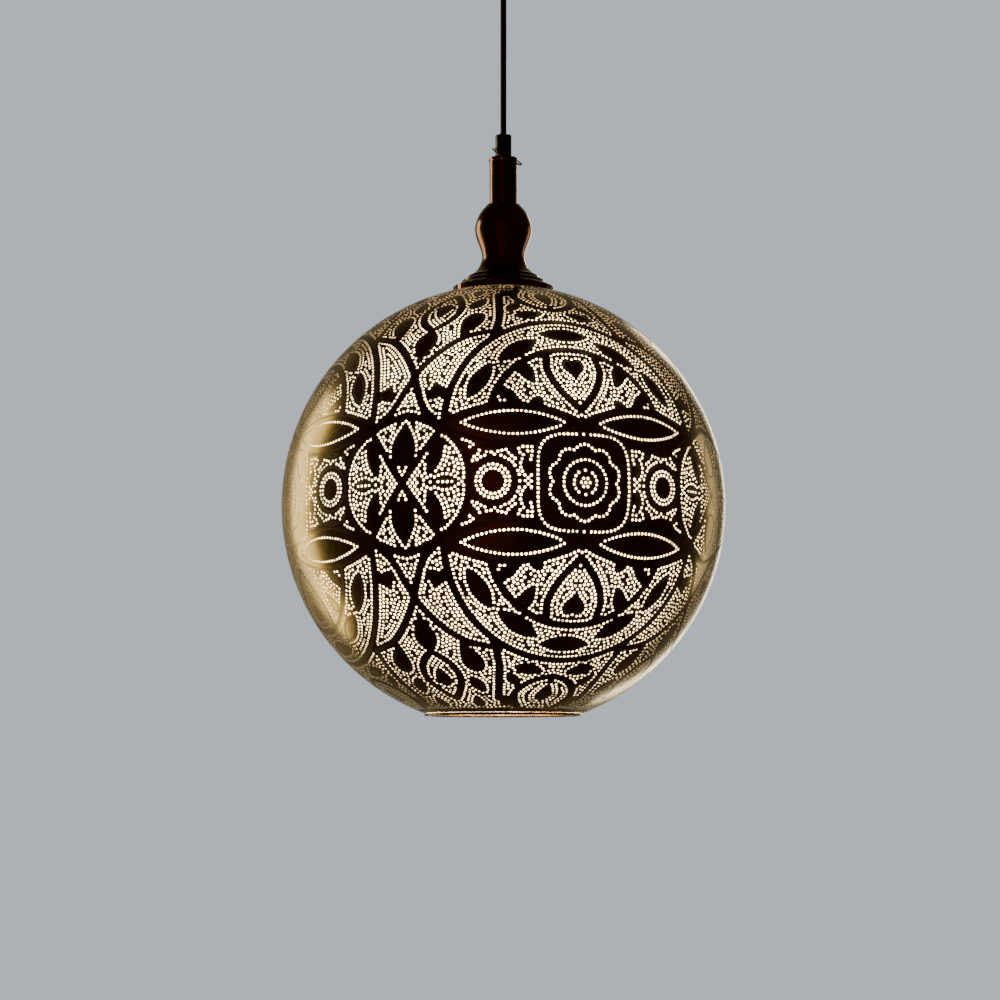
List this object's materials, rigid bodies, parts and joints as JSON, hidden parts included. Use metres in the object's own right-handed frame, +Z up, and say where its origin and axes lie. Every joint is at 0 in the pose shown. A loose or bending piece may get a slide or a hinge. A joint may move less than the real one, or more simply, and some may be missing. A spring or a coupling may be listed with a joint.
{
  "type": "hanging lantern",
  "caption": "Hanging lantern: a pierced brass globe, open below, on a turned neck, hung by a cord from a ceiling rose, with a filament bulb inside.",
  "frame": {"origin": "middle of the ceiling rose's flat top, in the plane of the ceiling", "axes": "+Z up into the ceiling, the globe hangs below on -Z, its front faces -Y and the bracket's strap runs along X"},
  "size_m": [0.3999, 0.4, 0.7244],
  "materials": {
    "antique_brass": "antiqued dark, satin",
    "dark_bronze": "antiqued dark, glossy lacquer",
    "black_plastic": "black, smooth",
    "black_flex": "black round flex",
    "wire_steel": "bare wire",
    "zinc_steel": "zinc plated",
    "bare_brass": "bright",
    "clear_glass": "clear",
    "nickel": "nickel plated",
    "tungsten": "glowing filament",
    "ceramic_white": "white",
    "wire_brown": "brown insulation",
    "wire_blue": "blue insulation",
    "wire_green": "green and yellow insulation",
    "white_plastic": "moulded",
    "black_glass": "black cap insulator"
  },
  "bodies": {
    "ceiling": {"ceiling_bracket": "zinc_steel", "canopy": "dark_bronze", "canopy_screws": "dark_bronze", "earth_screw": "bare_brass", "terminal_block": "white_plastic", "terminal_screws": "zinc_steel", "gland_body": "black_plastic", "gland_cap": "black_plastic", "gland_nut": "zinc_steel", "cord_tail": "black_flex", "live_lead": "wire_brown", "neutral_lead": "wire_blue", "earth_lead": "wire_green"},
    "bush": {"swing_bush": "black_plastic"},
    "cord": {"cord": "black_flex", "cord_ferrule": "nickel"},
    "lantern": {"grip_collar": "black_plastic", "neck_tube": "dark_bronze", "neck_baluster": "dark_bronze", "shoulder_flange": "antique_brass", "globe_upper": "antique_brass", "globe_lower": "antique_brass", "bottom_rim": "antique_brass", "threaded_rod": "zinc_steel", "clamp_plate": "zinc_steel", "clamp_nut": "zinc_steel", "holder_nut": "zinc_steel", "holder_cap": "black_plastic", "holder_skirt": "black_plastic", "holder_insert": "ceramic_white", "screw_shell": "bare_brass", "centre_contact": "bare_brass", "holder_terminals": "bare_brass", "live_wire": "wire_brown", "neutral_wire": "wire_blue", "earth_wire": "wire_green"},
    "ring": {"neck_ring": "wire_steel"},
    "bulb": {"bulb_glass": "clear_glass", "bulb_cap": "nickel", "bulb_insulator": "black_glass", "bulb_contact": "nickel", "bulb_stem": "clear_glass", "support_wires": "nickel", "filament": "tungsten"}
  },
  "joints": [
    {"name": "swing_side", "type": "hinge", "parent": "ceiling", "child": "bush", "pos_m": [0, 0, -0.042], "axis": [0, 1, 0], "range_deg": [-15, 15]},
    {"name": "swing_front", "type": "hinge", "parent": "bush", "child": "cord", "pos_m": [0, 0, -0.042], "axis": [1, 0, 0], "range_deg": [-15, 15]},
    {"name": "lantern_turn", "type": "hinge", "parent": "cord", "child": "lantern", "pos_m": [0, 0, -0.2035], "axis": [0, 0, 1], "range_deg": [-180, 180]},
    {"name": "ring_turn", "type": "hinge", "parent": "lantern", "child": "ring", "pos_m": [0, 0, -0.2125], "axis": [0, 0, 1], "continuous": true},
    {"name": "bulb_out", "type": "slide", "parent": "lantern", "child": "bulb", "axis": [0, 0, -1], "range_m": [0, 0.36]}
  ]
}
